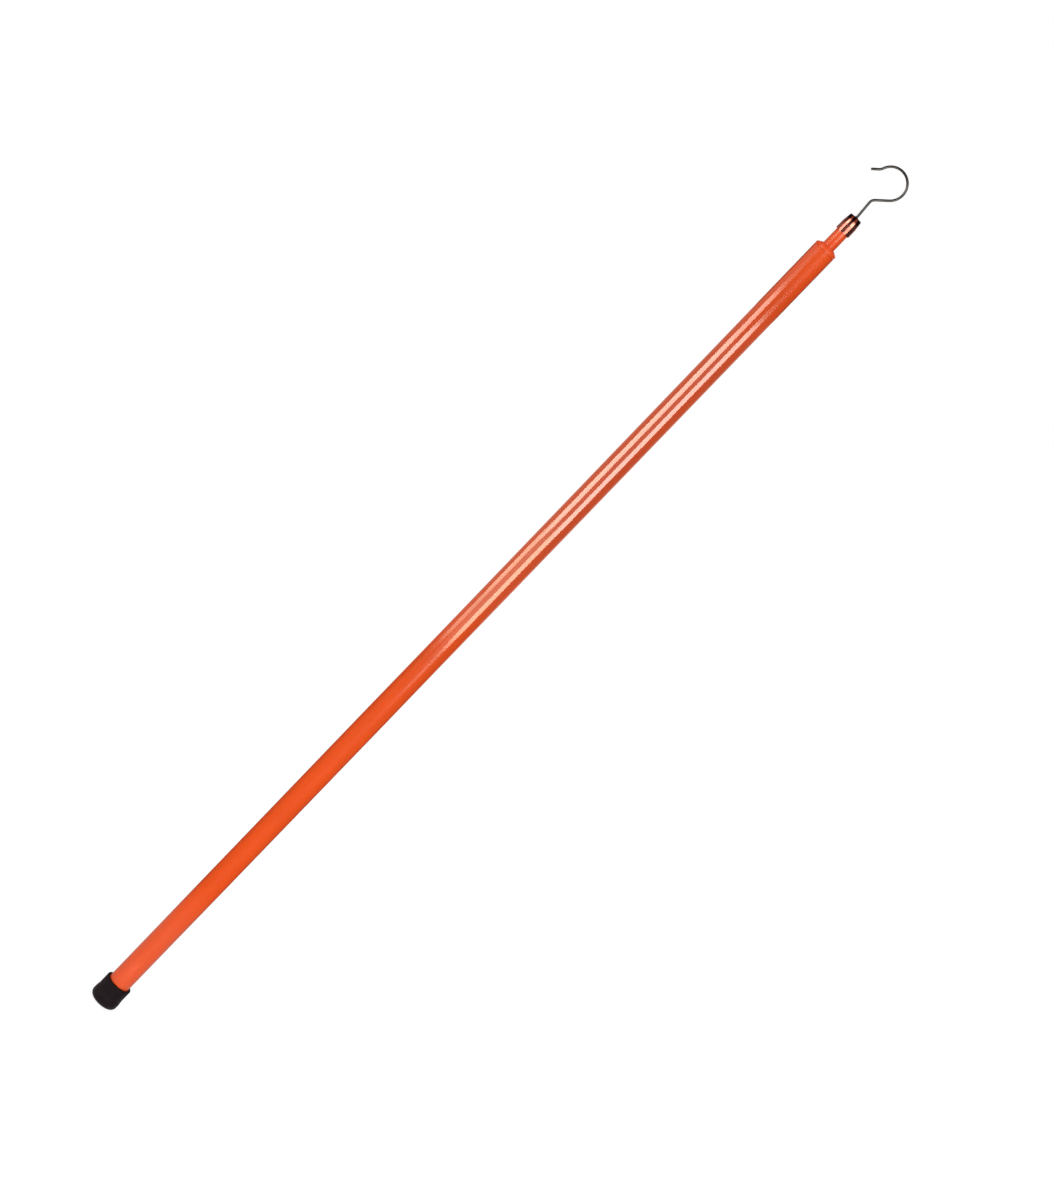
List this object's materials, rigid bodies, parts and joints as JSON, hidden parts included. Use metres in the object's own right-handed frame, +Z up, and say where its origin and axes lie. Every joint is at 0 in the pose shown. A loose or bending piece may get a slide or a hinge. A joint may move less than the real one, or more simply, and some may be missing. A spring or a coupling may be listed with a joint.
{
  "type": "telescopic measuring pole",
  "caption": "Telescopic glass-fibre measuring pole with a rubber foot, spring lock buttons, a copper ferrule and an open wire hook that hangs on an overhead conductor.",
  "frame": {"origin": "middle of the sole of the rubber foot, where the pole stands on the ground", "axes": "+Z up along the pole's axis, from the foot to the hook; +X towards the closed side of the hook's bowl, the hook opens towards -X; +Y the side of the lock buttons and lock holes"},
  "size_m": [0.0657, 0.0494, 1.8407],
  "materials": {
    "orange_glass_fibre": "gloss",
    "orange_ring": "satin",
    "foot_rubber": "matte",
    "plug_nylon": "satin",
    "button_brass": "satin",
    "spring_steel": "gloss",
    "ferrule_copper": "polished",
    "fastener_steel": "gloss",
    "hook_steel": "polished"
  },
  "bodies": {
    "base": {"rubber_foot_cap": "foot_rubber", "base_plug": "plug_nylon", "base_bumper": "foot_rubber", "base_tube": "orange_glass_fibre", "base_mouth_ring": "orange_ring"},
    "section_2": {"section_2_tube": "orange_glass_fibre", "section_2_slider_plug": "plug_nylon", "section_2_button_spring": "spring_steel", "section_2_mouth_ring": "orange_ring"},
    "section_3": {"section_3_tube": "orange_glass_fibre", "section_3_slider_plug": "plug_nylon", "section_3_button_spring": "spring_steel", "section_3_mouth_ring": "orange_ring"},
    "section_4": {"section_4_tube": "orange_glass_fibre", "section_4_slider_plug": "plug_nylon", "section_4_button_spring": "spring_steel", "section_4_mouth_ring": "orange_ring"},
    "section_5": {"section_5_tube": "orange_glass_fibre", "section_5_slider_plug": "plug_nylon", "section_5_button_spring": "spring_steel", "tip_plug": "plug_nylon", "tip_ferrule": "ferrule_copper", "hook_washer": "fastener_steel", "hook_nut": "fastener_steel", "line_hook": "hook_steel"},
    "button_2": {"section_2_lock_button": "button_brass"},
    "button_3": {"section_3_lock_button": "button_brass"},
    "button_4": {"section_4_lock_button": "button_brass"},
    "button_5": {"section_5_lock_button": "button_brass"}
  },
  "joints": [
    {"name": "section_2_slide", "type": "slide", "parent": "base", "child": "section_2", "axis": [0, 0, 1], "range_m": [0, 1.4591]},
    {"name": "section_3_slide", "type": "slide", "parent": "section_2", "child": "section_3", "axis": [0, 0, 1], "range_m": [0, 1.4258]},
    {"name": "section_4_slide", "type": "slide", "parent": "section_3", "child": "section_4", "axis": [0, 0, 1], "range_m": [0, 1.3925]},
    {"name": "section_5_slide", "type": "slide", "parent": "section_4", "child": "section_5", "axis": [0, 0, 1], "range_m": [0, 1.3592]},
    {"name": "button_2_press", "type": "slide", "parent": "section_2", "child": "button_2", "axis": [0, -1, 0], "range_m": [0, 0.0015], "stiffness_N_per_m": 600, "springref_m": -0.005, "deforming": ["section_2_button_spring"]},
    {"name": "button_3_press", "type": "slide", "parent": "section_3", "child": "button_3", "axis": [0, -1, 0], "range_m": [0, 0.0015], "stiffness_N_per_m": 600, "springref_m": -0.005, "deforming": ["section_3_button_spring"]},
    {"name": "button_4_press", "type": "slide", "parent": "section_4", "child": "button_4", "axis": [0, -1, 0], "range_m": [0, 0.0015], "stiffness_N_per_m": 600, "springref_m": -0.005, "deforming": ["section_4_button_spring"]},
    {"name": "button_5_press", "type": "slide", "parent": "section_5", "child": "button_5", "axis": [0, -1, 0], "range_m": [0, 0.0015], "stiffness_N_per_m": 600, "springref_m": -0.005, "deforming": ["section_5_button_spring"]}
  ]
}
